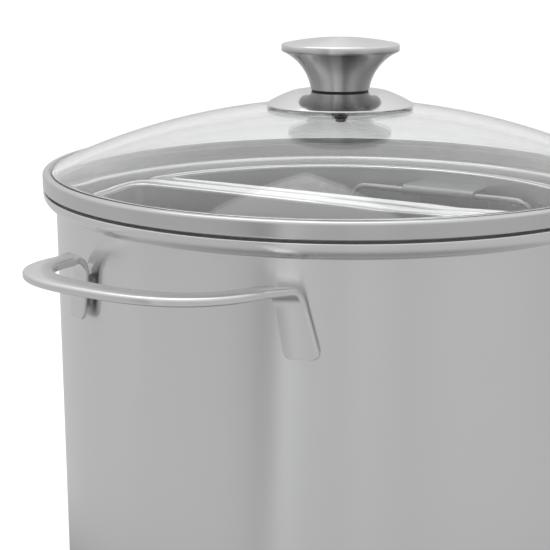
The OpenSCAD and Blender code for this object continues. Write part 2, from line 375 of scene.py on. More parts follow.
def rings_about_axis(finish, fineness):
    """Hairlines that run round the upright axis on a flat or domed top."""
    x, y, _ = finish.parts_of(finish.place())
    radius = (x * x + y * y) ** 0.5
    line = finish.node("ShaderNodeCombineXYZ", None, {0: radius * fineness, 1: x * 6.0, 2: y * 6.0})
    return finish.noise(line, 1.0, 3.0, 0.6)


def around(tone, spread):
    """A darker and a lighter tone either side of the given one, ready for a Mix."""
    low = tuple(c * (1 - spread) for c in tone)
    high = tuple(min(c * (1 + spread), 1) for c in tone)
    return (*low, 1), (*high, 1)


def brushed_steel(name, tone, rough, hairline, lines=(4, 4, 1500), depth=1.5e-6, grain=0.0):
    """Satin sheet steel with fine lines, faint cloudiness and a few handling marks."""
    finish = Finish(name, Metallic=1.0, Roughness=rough, Anisotropic=grain, Anisotropic_Rotation=0.25)
    fine = finish.noise(finish.place(lines), 1.0, 3.0, 0.6)
    cloud = finish.noise(finish.place(), 9.0, 2.0, 0.5)
    smudge = finish.noise(finish.place((1, 1, 0.6)), 38.0, 4.0, 0.6)
    shade = finish.ranged(fine * 0.35 + cloud * 0.45 + smudge * 0.2, 0.32, 0.68, 0, 1)
    finish.feed("Base Color", finish.mixed(shade, *around(tone, hairline)))
    finish.feed("Roughness", finish.ranged(fine * 0.3 + smudge * 0.7, 0.3, 0.7, rough - 0.02, rough + 0.03))
    return finish.bumped(fine, depth)


def turned_steel(name, tone, rough, hairline, fineness=2600.0, depth=1e-6, neck=None, grain=0.0):
    """Steel finished on a lathe, with rings about the middle. Below a height, a neck may be given painted
    reflections and painted shade by bearing.
    """
    finish = Finish(name, Metallic=1.0, Roughness=rough, Anisotropic=grain, Anisotropic_Rotation=0.25)
    rings = rings_about_axis(finish, fineness)
    cloud = finish.noise(finish.place(), 26.0, 3.0, 0.5)
    shade = finish.ranged(rings * 0.7 + cloud * 0.3, 0.3, 0.7, 0, 1)
    colour = finish.mixed(shade, *around(tone, hairline))
    # Painted reflection streaks and painted shade take the place of the rings' tone below the neck's top
    if neck:
        painted_neck_tones, neck_top = neck
        across, along, height = finish.parts_of(finish.place())
        above = finish.ranged(height, (neck_top - NECK_FADE) * MM, (neck_top + NECK_FADE) * MM, 0, 1)
        colour = finish.mixed(above, by_bearing(finish, across, along, painted_neck_tones), colour)
    finish.feed("Base Color", colour)
    finish.feed("Roughness", finish.ranged(rings, 0.3, 0.7, rough - 0.03, rough + 0.05))
    return finish.bumped(rings, depth)


def rubber(name, tone, rough):
    """Matt silicone with a dusty skin."""
    finish = Finish(name, Roughness=rough, Specular_IOR_Level=0.35)
    grain = finish.noise(finish.place(), 900.0, 3.0, 0.6)
    dust = finish.noise(finish.place(), 60.0, 3.0, 0.5)
    low = tuple(c * 0.75 for c in tone)
    high = tuple(c * 1.35 for c in tone)
    finish.feed("Base Color", finish.mixed(dust, (*low, 1), (*high, 1)))
    finish.feed("Roughness", finish.ranged(dust, 0.3, 0.7, rough - 0.06, rough + 0.08))
    return finish.bumped(grain, 2e-5)


def clear_glass():
    finish = Finish("clear_glass", Transmission_Weight=1.0, IOR=1.5, Roughness=0.0,
                    Base_Color=(0.985, 0.992, 0.99, 1))
    smear = finish.noise(finish.place(), 14.0, 3.0, 0.5)
    finish.feed("Roughness", finish.ranged(smear, 0.45, 0.8, 0.0, 0.02))
    return finish


def cool(tone):
    """A grey with a trace of blue, as stainless steel has."""
    return tone, tone, tone + 0.005


# Painted reflections down the knob's neck, as (turns from -X, tone): light and dark streaks, with painted
# shade that keeps the neck darker than the top
NECK_PAINTED_REFLECTIONS = [(0.0, 0.5), (0.02, 0.56), (0.045, 0.5), (0.062, 0.58), (0.085, 0.5), (0.1, 0.3),
                (0.112, 0.26), (0.128, 0.36), (0.15, 0.42), (0.175, 0.34), (0.2, 0.3), (0.26, 0.36),
                (0.35, 0.5), (0.42, 0.36), (0.5, 0.46), (0.58, 0.34), (0.66, 0.5), (0.75, 0.4),
                (0.83, 0.48), (0.89, 0.4), (0.94, 0.38), (0.97, 0.36), (1.0, 0.5)]

# How the fine lines are stretched: round a wall, or the same in every direction
ROUND_LINES = (3, 3, 900)
HANDLE_GRAIN = (300, 300, 300)
BASKET_GRAIN = (60, 60, 60)
WIRE_GRAIN = (900, 900, 900)
ROLLED_LINES = (900, 6, 6)

STEEL_BODY = brushed_steel("satin_body_steel", (0.75, 0.752, 0.755), 0.22, 0.004, ROUND_LINES, 5e-8, 0.95)
STEEL_HANDLE = brushed_steel("satin_handle_steel", (0.74, 0.74, 0.742), 0.24, 0.008, HANDLE_GRAIN, 4e-7)
STEEL_BAND = brushed_steel("band_steel", cool(0.62), 0.2, 0.01, ROUND_LINES, 5e-7, 0.6)
STEEL_BASE = turned_steel("base_steel", cool(0.5), 0.32, 0.05)
# The knob's neck gets painted reflections and painted shade, darker than its top
STEEL_KNOB = turned_steel("turned_knob_steel", cool(0.74), 0.22, 0.01, depth=5e-8,
                          neck=(NECK_PAINTED_REFLECTIONS, KNOB_TOP - NECK_DROP), grain=0.9)
STEEL_PLATE = turned_steel("bright_plate_steel", cool(0.74), 0.12, 0.01, depth=2e-7)
STEEL_SCREW = turned_steel("screw_steel", (0.55, 0.55, 0.55), 0.25, 0.04)
STEEL_BASKET = brushed_steel("basket_steel", cool(0.8), 0.2, 0.03, BASKET_GRAIN, 2e-6)
STEEL_MESH = brushed_steel("perforated_wall_steel", cool(0.6), 0.34, 0.03, BASKET_GRAIN, 2e-6)
STEEL_BRACKET = brushed_steel("bracket_steel", cool(0.24), 0.42, 0.03, BASKET_GRAIN, 2e-6)
STEEL_WIRE = brushed_steel("bright_wire", cool(0.3), 0.42, 0.04, WIRE_GRAIN, 2e-6)
CORE_ALUMINIUM = brushed_steel("rolled_aluminium", (0.72, 0.73, 0.74), 0.4, 0.06, ROLLED_LINES)
BRASS = turned_steel("brass", (0.62, 0.45, 0.2), 0.3, 0.06)
SILICONE = rubber("black_silicone", (0.018, 0.018, 0.019), 0.5)
SEALANT = rubber("grey_sealant", (0.42, 0.42, 0.42), 0.55)
GLASS = clear_glass()


# ---------------------------------------------------------------- pot

def pot_body():
    """Drawn pot: bottom, rounded corner, wall, flared collar and lip, then back down inside."""
    mid = BODY_R - CORNER_R
    flare_r, flare_z = LIP_R - FLARE_R, POT_TOP - LIP_ARC_DROP
    fillet_r = BODY_R + FLARE_FILLET
    rise = sqrt((FLARE_R + FLARE_FILLET) ** 2 - (fillet_r - flare_r) ** 2)
    fillet_z = flare_z - rise
    lean = degrees(atan2(rise, fillet_r - flare_r))
    outside = arc(mid, BASE_TOP + CORNER_R, CORNER_R, -90, 0)
    outside += [(BODY_R, z) for z in (60, 140, 220)]
    outside += arc(fillet_r, fillet_z, FLARE_FILLET, 180, 180 - lean, 8)
    outside += arc(flare_r, flare_z, FLARE_R, -lean, 0, 14)[1:]
    lip = arc(LIP_R - WALL / 2, POT_TOP - 0.5, WALL / 2, 0, 180, 8)
    inside = arc(flare_r, flare_z, FLARE_R - WALL, 0, -lean, 14)
    inside += arc(fillet_r, fillet_z, FLARE_FILLET + WALL, 180 - lean, 180, 8)[1:]
    inside += [(BODY_R - WALL, z) for z in (220, 140, 60)]
    inside += arc(mid, BASE_TOP + CORNER_R, CORNER_R - WALL, 0, -90)
    bottom = [(0, BASE_TOP), (mid / 2, BASE_TOP), (mid - 3, BASE_TOP)]
    floor = [(mid - 3, BASE_TOP + WALL), (mid / 2, BASE_TOP + WALL), (0, BASE_TOP + WALL)]
    return turned(bottom + outside + lip + inside + floor, steps=288)


def base_cap():
    """Pressed steel cap over the aluminium core, its rim turned up on a small radius."""
    core_r = BASE_R - CAP_SHEET
    return turned(rounded([(0, 0), (BASE_R, 0, 2), (BASE_R, BASE_TOP, 0.4), (core_r, BASE_TOP, 0.3),
                           (core_r, CAP_SHEET, 1.2), (0, CAP_SHEET)]))


def base_core():
    """Aluminium disc that fills the cap."""
    core_r = BASE_R - CAP_SHEET
    corners = [(0, CAP_SHEET), (core_r, CAP_SHEET, 1.2), (core_r, BASE_TOP, 0.3), (0, BASE_TOP)]
    return turned(rounded(corners))


finished("pot_body", pot_body(), STEEL_BODY, "pot", "pot_steel")
finished("base_cap", base_cap(), STEEL_BASE, "pot", "pot_steel")
finished("base_core", base_core(), CORE_ALUMINIUM, "pot", "base_aluminium")


# ---------------------------------------------------------------- loop handles

def loop_edge(turn, half, reach):
    """Point on one edge of the loop, turn from 0 at the pot to a quarter turn at the tip."""
    return Vector((LOOP_ROOT + (reach - LOOP_ROOT) * sin(turn) ** (2 / LOOP_POWER),
                   half * max(cos(turn), 0) ** (2 / LOOP_POWER)))


def bar_section(across, width, depth, rounding):
    """Point of a rounded bar section: sideways and through the thickness, from 0 to 1 around it."""
    corner = int(across * 4) % 4
    share = (across * 4 - int(across * 4)) if across < 1 else 0.0
    angle = corner * pi / 2 + min(share / 0.8, 1) * pi / 2
    side = (width / 2 - rounding) * (1 if corner in (0, 3) else -1)
    through = (depth / 2 - rounding) * (1 if corner in (0, 1) else -1)
    return side + rounding * cos(angle), through + rounding * sin(angle)


def tab_edges(height):
    """Inner and outer edge of the flared tab at a height, bulging at its foot."""
    drop = (LOOP_TOP - height) / (LOOP_TOP - TAB_LOW)
    inner = TAB_IN_TOP + TAB_SPREAD_IN * max(0, drop) ** 1.2
    outer = TAB_OUT_TOP + TAB_SPREAD_OUT * max(0, drop)
    above = height - TAB_LOW
    if above < TAB_FOOT_R:
        pinch = TAB_FOOT_R - sqrt(TAB_FOOT_R ** 2 - (TAB_FOOT_R - above) ** 2)
        inner += pinch
        outer -= pinch
    return inner, outer


TAB_ROWS = 14
BEND_ROWS = 10
LOOP_ROWS = 46
HALF_ROWS = TAB_ROWS + BEND_ROWS + LOOP_ROWS
BEND_END = pi / 2 - atan2(LOOP_SLOPE, 1)
TAB_HIGH = LOOP_TOP - BAR_T - BEND_R


def handle_point(across, along):
    """Half of a handle: up one tab, out through the bend and round the loop to its tip."""
    row = round(along * HALF_ROWS)
    if row <= TAB_ROWS:
        share = (row / TAB_ROWS) ** 1.6
        height = TAB_LOW + (TAB_HIGH - TAB_LOW) * share
        inner, outer = tab_edges(height)
        sideways, through = bar_section(across, outer - inner, TAB_T, 1.0)
        y = (inner + outer) / 2 - sideways
        x = sqrt((TAB_IN_R + TAB_T / 2) ** 2 - y * y) + through
        return Vector((x, y, height))
    if row <= TAB_ROWS + BEND_ROWS:
        share = (row - TAB_ROWS) / BEND_ROWS
        bend = BEND_END * share
        inner, outer = tab_edges(TAB_HIGH + 8 * share)
        thick = TAB_T + (BAR_T - TAB_T) * share
        sideways, through = bar_section(across, outer - inner, thick, 1.0 + 0.3 * share)
        y = (inner + outer) / 2 - sideways
        pivot_x = sqrt((TAB_IN_R + TAB_T / 2) ** 2 - y * y) + BEND_R
        pivot_z = LOOP_TOP + (pivot_x - BODY_R) * LOOP_SLOPE - BAR_T / 2 - BEND_R
        pivot_z = TAB_HIGH + (pivot_z - TAB_HIGH) * share
        radius = BEND_R - through
        return Vector((pivot_x - radius * cos(bend), y, pivot_z + radius * sin(bend)))
    share = (row - TAB_ROWS - BEND_ROWS) / LOOP_ROWS
    start = asin(((BAR_START - LOOP_ROOT) / (LOOP_REACH - LOOP_ROOT)) ** (LOOP_POWER / 2))
    turn = start + (pi / 2 - start) * share
    outside = loop_edge(turn, LOOP_HALF, LOOP_REACH)
    inside = loop_edge(turn, LOOP_HALF - BAR_SIDE, LOOP_REACH - BAR_TIP)
    way = outside - inside
    sideways, through = bar_section(across, way.length, BAR_T, 1.3)
    middle = (outside + inside) / 2 - way.normalized() * sideways
    middle.y = max(middle.y, 0) if share > 0.999 else middle.y
    top = LOOP_TOP + (middle.x - BODY_R) * LOOP_SLOPE
    return Vector((middle.x, middle.y, top - BAR_T / 2 - through))


def weld_pad(y, z):
    """A flattened spot weld between the tab and the wall."""
    pad = turned(rounded([(0, 0), (3.4, 0, 0.5), (3.0, 3.0, 0.5), (0, 3.0)]), steps=24)
    lean = asin(y / BODY_R)
    return moved(pad, Matrix.Rotation(lean, 4, "Z") @ Matrix.Translation((BODY_R - 0.3, 0, z))
                 @ Matrix.Rotation(pi / 2, 4, "Y"))


def loop_handle(side):
    bar = laid_out(20, HALF_ROWS, handle_point)
    foot = [e for e in bar.edges if e.is_boundary and all(v.co.z < TAB_LOW + 1 for v in e.verts)]
    bmesh.ops.holes_fill(bar, edges=foot, sides=0)
    bmesh.ops.mirror(bar, geom=bar.verts[:] + bar.edges[:] + bar.faces[:], axis="Y", merge_dist=0.02)
    close_up(bar)
    pads = [weld_pad(sign * y, z) for y, z in WELDS for sign in (1, -1)]
    handle = joined(bar, *pads)
    return moved(handle, Matrix.Rotation(pi if side == "left" else 0, 4, "Z"))


for side in ("left", "right"):
    finished(f"handle_{side}", loop_handle(side), STEEL_HANDLE, "pot", "handle_steel")


# ---------------------------------------------------------------- lid

def dome_height(radius, shell):
    return DOME_Z + sqrt(shell * shell - radius * radius)


def lid_glass():
    """Tempered dome with a ground edge and a centre hole."""
    inner = DOME_R - GLASS_T
    count = 44
    reach = [GLASS_HOLE_R + (GLASS_R - GLASS_HOLE_R) * k / count for k in range(count)]
    outside = [(r, dome_height(r, DOME_R)) for r in reach[:-1]]
    outside.append((GLASS_R, dome_height(GLASS_R, DOME_R), 1.6))
    under = [(r, dome_height(r, inner)) for r in reversed(reach)]
    under.insert(0, (GLASS_R, dome_height(GLASS_R, inner), 1.2))
    return turned(rounded(outside + under, closed=True), closed=True, steps=256)


def lid_band():
    """Pressed band: skirt inside the pot, ledge, face and turned-in top."""
    edge, sheet = BAND_R, BAND_SHEET
    corners = [(SKIRT_R, SKIRT_LOW, 0.3), (SKIRT_R, BAND_LOW, 0.4), (edge, BAND_LOW, 1.0),
               (edge, BAND_TOP, 1.5), (MOUTH_R, BAND_TOP, 0.3), (MOUTH_R, BAND_TOP - sheet, 0.2),
               (edge - sheet, BAND_TOP - sheet, 0.7), (edge - sheet, BAND_LOW + sheet, 0.4),
               (SEAL_IN_R, BAND_LOW + sheet, 0.2), (SEAL_IN_R, BAND_LOW, 0.2),
               (SKIRT_R - sheet, BAND_LOW, 0.3), (SKIRT_R - sheet, SKIRT_LOW, 0.3)]
    return turned(rounded(corners, closed=True), closed=True)


def lid_seal():
    """Grey sealant between the band and the edge of the glass, with a bead at the mouth."""
    inner = DOME_R - GLASS_T
    out, mouth, glass = BAND_R - BAND_SHEET - SKIN, MOUTH_R - SKIN, GLASS_R + SKIN
    low, high = BAND_LOW + BAND_SHEET + SKIN, BAND_TOP - BAND_SHEET - SKIN
    corners = [(SEAL_IN_R, low), (out, low), (out, high), (mouth, high),
               (mouth, BAND_TOP - 0.35, 0.1), (glass, BAND_TOP - 0.5, 0.1),
               (glass, dome_height(GLASS_R, inner) - SKIN),
               (SEAL_IN_R, dome_height(SEAL_IN_R, inner) - 0.1, 0.3)]
    return turned(rounded(corners, closed=True), closed=True)


def vent_grommet():
    """Silicone bush in the steam vent: stem, bore and two flanges."""
    low, under, over, high = -GLASS_T - 0.9, -GLASS_T - 0.1, 0.1, 0.55
    corners = [(VENT_BORE_R, low), (VENT_TAIL_R, low, 0.3), (VENT_TAIL_R, under, 0.3),
               (VENT_STEM_R, under), (VENT_STEM_R, over), (VENT_FLANGE_R, over, 0.1),
               (VENT_FLANGE_R, high, 0.2), (VENT_BORE_R, high, 0.2)]
    bush = turned(rounded(corners, closed=True), closed=True, steps=40)
    return moved(bush, Matrix.Rotation(VENT_TURN, 4, "Z") @ Matrix.Translation((0, 0, DOME_Z))
                 @ Matrix.Rotation(asin(VENT_R / DOME_R), 4, "Y") @ Matrix.Translation((0, 0, DOME_R)))


finished("lid_glass", lid_glass(), GLASS, "lid", "lid_glass")
finished("lid_band", lid_band(), STEEL_BAND, "lid", "band_steel")
finished("lid_seal", lid_seal(), SEALANT, "lid", "grey_sealant")
finished("vent_grommet", vent_grommet(), SILICONE, "lid", "black_silicone")


# ---------------------------------------------------------------- knob

def knob():
    """Trumpet knob: foot, waisted neck, rim and low dome, with a blind bore for the insert."""
    flare_end = degrees(pi - acos((KNOB_FLARE_X - KNOB_R) / KNOB_FLARE))
    flare_start = degrees(pi - acos((KNOB_FLARE_X - KNOB_FOOT) / KNOB_FLARE))
    neck = arc(KNOB_FLARE_X, KNOB_FLARE_Z, KNOB_FLARE, flare_start, flare_end, 26)
    rim_z = KNOB_TOP - KNOB_DOME + sqrt(KNOB_DOME ** 2 - KNOB_R ** 2)
    dome = [(r, KNOB_TOP - KNOB_DOME + sqrt(KNOB_DOME ** 2 - r * r)) for r in (28, 24, 19, 13, 7, 2, 0)]
    bore_top = KNOB_LOW + KNOB_BORE_DEEP
    corners = [(0, bore_top), (KNOB_BORE_R, bore_top, 0.3), (KNOB_BORE_R, KNOB_LOW, 0.3), (*neck[0], 0.25)]
    corners += neck[1:-1] + [(*neck[-1], 0.9), (KNOB_R, rim_z, 1.1)] + dome
    return turned(rounded(corners))


def heights(node):
    """Lowest and highest point of a node."""
    low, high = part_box(node)
    return low.z / MM, high.z / MM


def ring_piece(inner, outer, low, high, rounding=0.2):
    """Flat ring with every edge rounded."""
    corners = [(r, z, rounding) for r, z in ((inner, low), (outer, low), (outer, high), (inner, high))]
    return turned(rounded(corners, closed=True), closed=True, steps=128)


def knob_plate():
    """Domed plate with a flat middle and a rolled rim."""
    flat = sqrt(PLATE_DOME ** 2 - (PLATE_TOP - PLATE_DOME_Z) ** 2)
    outer = [(r, PLATE_DOME_Z + sqrt(PLATE_DOME ** 2 - r * r)) for r in (30, 33.5, 36.5, 38.8)]
    inner_dome = PLATE_DOME - PLATE_SHEET
    inner_edge = sqrt(inner_dome ** 2 - (PLATE_LOW - PLATE_DOME_Z) ** 2)
    under = [(r, PLATE_DOME_Z + sqrt(inner_dome ** 2 - r * r)) for r in (36, 33, 29.5)]
    corners = [(STUD_R, PLATE_TOP), (14, PLATE_TOP), (flat, PLATE_TOP, 9)] + outer
    corners += [(PLATE_R, PLATE_LOW, 0.5), (inner_edge, PLATE_LOW, 0.3)] + under
    corners += [(24.2, PLATE_TOP - PLATE_SHEET, 5), (STUD_R, PLATE_TOP - PLATE_SHEET)]
    return turned(rounded(corners, closed=True), closed=True)


def lid_screw():
    """Pan-head screw from under the glass, with a cross recess left as a shallow dish."""
    low, high = heights("lid_screw")
    seat = low + SCREW_HEAD_H
    corners = [(0, low + 1.2), (1.4, low + 1.0), (2.2, low, 0.2), (SCREW_HEAD_R, low, 1.4),
               (SCREW_HEAD_R, seat, 0.2), (SCREW_R, seat), (SCREW_R, high, 0.5), (0, high)]
    return turned(rounded(corners), steps=64)


KNOB_STACK = {
    "knob": (knob(), STEEL_KNOB, "knob_steel"),
    "knob_insert": (ring_piece(SCREW_R, KNOB_BORE_R, *heights("knob_insert")), BRASS, "brass_insert"),
    "knob_gasket": (ring_piece(STUD_R, 15, *heights("knob_gasket")), SILICONE, "black_silicone"),
    "knob_plate": (knob_plate(), STEEL_PLATE, "plate_steel"),
    "plate_spacer": (ring_piece(STUD_R, 10, SPACER_LOW, PLATE_TOP - PLATE_SHEET), SILICONE,
                     "black_silicone"),
    "glass_washer": (ring_piece(STUD_R, 9, *heights("glass_washer"), 0.5), SILICONE, "black_silicone"),
    "steel_washer": (ring_piece(STUD_R, 8, *heights("steel_washer")), STEEL_SCREW, "screw_steel"),
    "lid_screw": (lid_screw(), STEEL_SCREW, "screw_steel"),
}
for node, (piece, finish, slot) in KNOB_STACK.items():
    finished(node, piece, finish, "lid", slot)


# ---------------------------------------------------------------- baskets

# Shares of the outline taken up by half the flat side, and by that and a corner
FLAT_END = 0.2
CORNER_END = 0.26


def half_round(r, x, c, share):
    """Point on a half-round outline of radius r, flat side at x, corners rounded by c."""
    mid_x = x + c
    mid_y = sqrt((r - c) ** 2 - mid_x ** 2)
    lean = atan2(mid_y, mid_x)
    near = min(share, 1 - share)
    if near < FLAT_END:
        point = Vector((x, mid_y * near / FLAT_END))
    elif near < CORNER_END:
        angle = pi - (pi - lean) * (near - FLAT_END) / (CORNER_END - FLAT_END)
        point = Vector((mid_x + c * cos(angle), mid_y + c * sin(angle)))
    else:
        angle = lean * (0.5 - near) / (0.5 - CORNER_END)
        point = Vector((r * cos(angle), r * sin(angle)))
    if share > 0.5:
        point.y = -point.y
    return point


# Rim section: (1 from the outer edge or 0 from the inner one, distance inwards, height)
BEAD_R = 0.8
BEAD_Z = RIM_TOP - BEAD_R
WEB_START = 2.2
WEB_LOW, WEB_HIGH = RIM_TOP - 1.25, RIM_TOP - 0.45
RIM_SECTION = [(1, 2 * BEAD_R - d, z) for d, z in arc(BEAD_R, BEAD_Z, BEAD_R, 125, -125, 10)]
RIM_SECTION += [(1, WEB_START, WEB_LOW), (0, WEB_START, WEB_LOW)]
RIM_SECTION += [(0, 2 * BEAD_R - d, z) for d, z in arc(BEAD_R, BEAD_Z, BEAD_R, -125, 125, 10)]
RIM_SECTION += [(0, WEB_START, WEB_HIGH), (1, WEB_START, WEB_HIGH)]


def rim_point(across, along):
    """Flat rim with a rolled bead along each edge."""
    side, inwards, z = RIM_SECTION[round(across * len(RIM_SECTION)) % len(RIM_SECTION)]
    outer = half_round(RIM_R, RIM_FLAT, BASKET_CORNER, along)
    sheet = BASKET_SHEET
    inner = half_round(BASKET_R - sheet, BASKET_FLAT + sheet, BASKET_CORNER - sheet, along)
    way = (outer - inner).normalized()
    point = outer - way * inwards if side else inner + way * inwards
    return Vector((point.x, point.y, z))


def basket_rim():
    rim = laid_out(len(RIM_SECTION), 200, rim_point)
    close_up(rim)
    return rim


def spaced(spans):
    """Positions along a sheet, and for each the count within its hole cell, or None where it is plain."""
    places, cells = [spans[0][0]], [None]
    for start, end, count, holed in spans:
        for k in range(1, count + 1):
            places.append(start + (end - start) * k / count)
            cells.append(k % CELL if holed else None)
        if holed:
            cells[-count - 1] = 0
    return places, cells


def perforated(across_spans, up_spans, place):
    """Sheet with rows of round holes, bent to shape by place(across, up)."""
    across, across_cells = spaced(across_spans)
    up, up_cells = spaced(up_spans)
    bm = bmesh.new()
    bmesh.ops.create_grid(bm, x_segments=len(across) - 1, y_segments=len(up) - 1, size=1)
    punched = []
    for vert in bm.verts:
        i = round((vert.co.x + 1) / 2 * (len(across) - 1))
        j = round((vert.co.y + 1) / 2 * (len(up) - 1))
        s, h = across[i], up[j]
        a, b = across_cells[i], up_cells[j]
        if a and b:
            if a in (2, 3) and b in (2, 3):
                punched.append(vert)
            else:
                step = HOLE_PITCH / CELL
                da, db = a - CELL / 2, b - CELL / 2
                clock = radians(30 * round((degrees(atan2(db, da)) - 15) / 30) + 15)
                s += HOLE_R * cos(clock) - da * step
                h += HOLE_R * sin(clock) - db * step
        vert.co = place(s, h)
    bmesh.ops.delete(bm, geom=punched, context="VERTS")
    return bm


def thickened(bm, thickness):
    """Give a sheet its thickness, away from the side its faces show."""
    bmesh.ops.recalc_face_normals(bm, faces=bm.faces)
    bmesh.ops.solidify(bm, geom=bm.faces[:], thickness=thickness)
    bmesh.ops.recalc_face_normals(bm, faces=bm.faces)
    return bm


WALL_LOW = FLOOR_LOW + BASKET_SHEET
WALL_TOP = RIM_TOP - RIM_T
HOLES_TOP = 252.5
HOLE_ROWS = 19
HOLES_LOW = HOLES_TOP - HOLE_ROWS * HOLE_PITCH
CURVED_HOLES = 28
FLAT_HOLES = 19
# Spans of a sheet: (start, end, number of steps, whether it has holes)
UP_SPANS = [(WALL_LOW, HOLES_LOW, 1, False), (HOLES_LOW, HOLES_TOP, HOLE_ROWS * CELL, True),
            (HOLES_TOP, WALL_TOP, 1, False)]
CORNER_X = BASKET_FLAT + BASKET_CORNER
CORNER_Y = sqrt((BASKET_R - BASKET_CORNER) ** 2 - CORNER_X ** 2)
CORNER_LEAN = atan2(CORNER_Y, CORNER_X)


def basket_curved_wall():
    middle = BASKET_R - BASKET_SHEET / 2
    edge = CORNER_LEAN * BASKET_R
    holes = CURVED_HOLES * HOLE_PITCH / 2
    spans = [(-edge, -holes, 2, False), (-holes, holes, CURVED_HOLES * CELL, True), (holes, edge, 2, False)]

    def place(s, h):
        return Vector((middle * cos(s / BASKET_R), middle * sin(s / BASKET_R), h))
    return thickened(perforated(spans, UP_SPANS, place), BASKET_SHEET)


def basket_flat_wall():
    """Flat wall and its two rounded corners."""
    inset = BASKET_SHEET / 2
    end = CORNER_Y + (pi - CORNER_LEAN) * BASKET_CORNER
    holes = FLAT_HOLES * HOLE_PITCH / 2
    spans = [(-end, -CORNER_Y, 8, False), (-CORNER_Y, -holes, 1, False),
             (-holes, holes, FLAT_HOLES * CELL, True),
             (holes, CORNER_Y, 1, False), (CORNER_Y, end, 8, False)]

    def place(s, h):
        past = max(abs(s) - CORNER_Y, 0)
        angle = pi - past / BASKET_CORNER
        radius = BASKET_CORNER - inset
        x = CORNER_X + radius * cos(angle)
        y = min(abs(s), CORNER_Y) + radius * sin(angle)
        return Vector((x, y if s > 0 else -y, h))
    return thickened(perforated(spans, UP_SPANS, place), BASKET_SHEET)


def basket_floor():
    """Half-round floor, punched all over."""
    bm = bmesh.new()
    count = 200
    outline = (half_round(BASKET_R, BASKET_FLAT, BASKET_CORNER, k / count) for k in range(count))
    edge = [bm.verts.new((*point, 0)) for point in outline]
    for k in range(count):
        bm.edges.new((edge[k], edge[(k + 1) % count]))
    for i in range(9):
        for j in range(-10, 11):
            x, y = BASKET_FLAT + HOLE_PITCH * (i + 1), HOLE_PITCH * j
            if hypot(x, y) < BASKET_R - 9:
                spot = Matrix.Translation((x, y, 0))
                bmesh.ops.create_circle(bm, radius=HOLE_R, segments=12, matrix=spot)
    bmesh.ops.triangle_fill(bm, use_beauty=True, edges=bm.edges[:], normal=(0, 0, 1))
    moved(bm, Matrix.Translation((0, 0, FLOOR_LOW + BASKET_SHEET / 2)))
    return thickened(bm, BASKET_SHEET)


def basket_feet():
    low, high = heights("rear_feet")
    foot = rounded([(0, low), (FOOT_R - 0.8, low, 1.4), (FOOT_R, high, 0.3), (0, high)])
    spots = ((BASKET_FLAT + 14.2, 99), (BASKET_FLAT + 14.2, -99), (113, 0))
    return joined(*(moved(turned(foot, steps=36), Matrix.Translation((x, y, 0))) for x, y in spots))


def bracket_outline():
    """Strap bent over the wire and down the wall: (x, z, share of the wall's curve)."""
    strap = 1.2
    round_wire = arc(BAIL_X, BAIL_Z, EYE_R, -120, -270, 10)
    inner_eye = arc(BAIL_X, BAIL_Z, EYE_R - strap, -270, -120, 10)
    wall = BASKET_R - BASKET_SHEET
    top = BAIL_Z + EYE_R
    low = top - 14
    outside = [(x, z, 0) for x, z in round_wire]
    outside += [(wall - 5, top, 1), (wall, top, 1), (wall, low, 1), (wall - strap, low, 1)]
    outside += [(wall - strap, top - 3, 1), (wall - 3, top - strap, 1)]
    return outside + [(x, z, 0) for x, z in inner_eye]


def basket_bail_bracket():
    outline = bracket_outline()
    wall = BASKET_R - BASKET_SHEET

    def place(across, along):
        x, z, share = outline[round(across * len(outline)) % len(outline)]
        y = -BAIL_SHIFT + BRACKET_HALF * (2 * along - 1)
        return Vector((x + share * (sqrt(wall * wall - y * y) - wall), y, z))
    return capped(laid_out(len(outline), 14, place))


def basket_bail():
    """Closed wire loop that hangs from its top bar."""
    half, low = BAIL_HALF, BAIL_Z - BAIL_DROP
    corners = [(-half, BAIL_Z, 9), (half, BAIL_Z, 9), (half, low, 9), (-half, low, 9)]
    path = rounded(corners, closed=True, parts=10)
    count = len(path)

    def place(across, along):
        k = round(along * count) % count
        here = Vector(path[k])
        way = (Vector(path[(k + 1) % count]) - Vector(path[k - 1])).normalized()
        side = Vector((way.y, -way.x))
        angle = TURN * across
        spot = here + side * WIRE_R * cos(angle)
        return Vector((BAIL_X + WIRE_R * sin(angle), spot.x - BAIL_SHIFT, spot.y))
    wire = laid_out(14, count, place)
    close_up(wire)
    return wire


BASKET_PIECES = {
    "curved_wall": (basket_curved_wall, STEEL_MESH, "basket_steel", "basket"),
    "flat_wall": (basket_flat_wall, STEEL_MESH, "basket_steel", "basket"),
    "floor": (basket_floor, STEEL_MESH, "basket_steel", "basket"),
    "rim": (basket_rim, STEEL_BASKET, "basket_steel", "basket"),
    "feet": (basket_feet, STEEL_BASKET, "basket_steel", "basket"),
    "bail_bracket": (basket_bail_bracket, STEEL_BRACKET, "basket_steel", "basket"),
    "bail": (basket_bail, STEEL_WIRE, "wire_steel", "bail"),
}
for part, (build, finish, slot, body) in BASKET_PIECES.items():
    rear = build()
    front = moved(rear.copy(), Matrix.Rotation(pi, 4, "Z"))
    finished(f"rear_{part}", rear, finish, f"rear_{body}", slot)
    finished(f"front_{part}", front, finish, f"front_{body}", slot)


# ---------------------------------------------------------------- studio

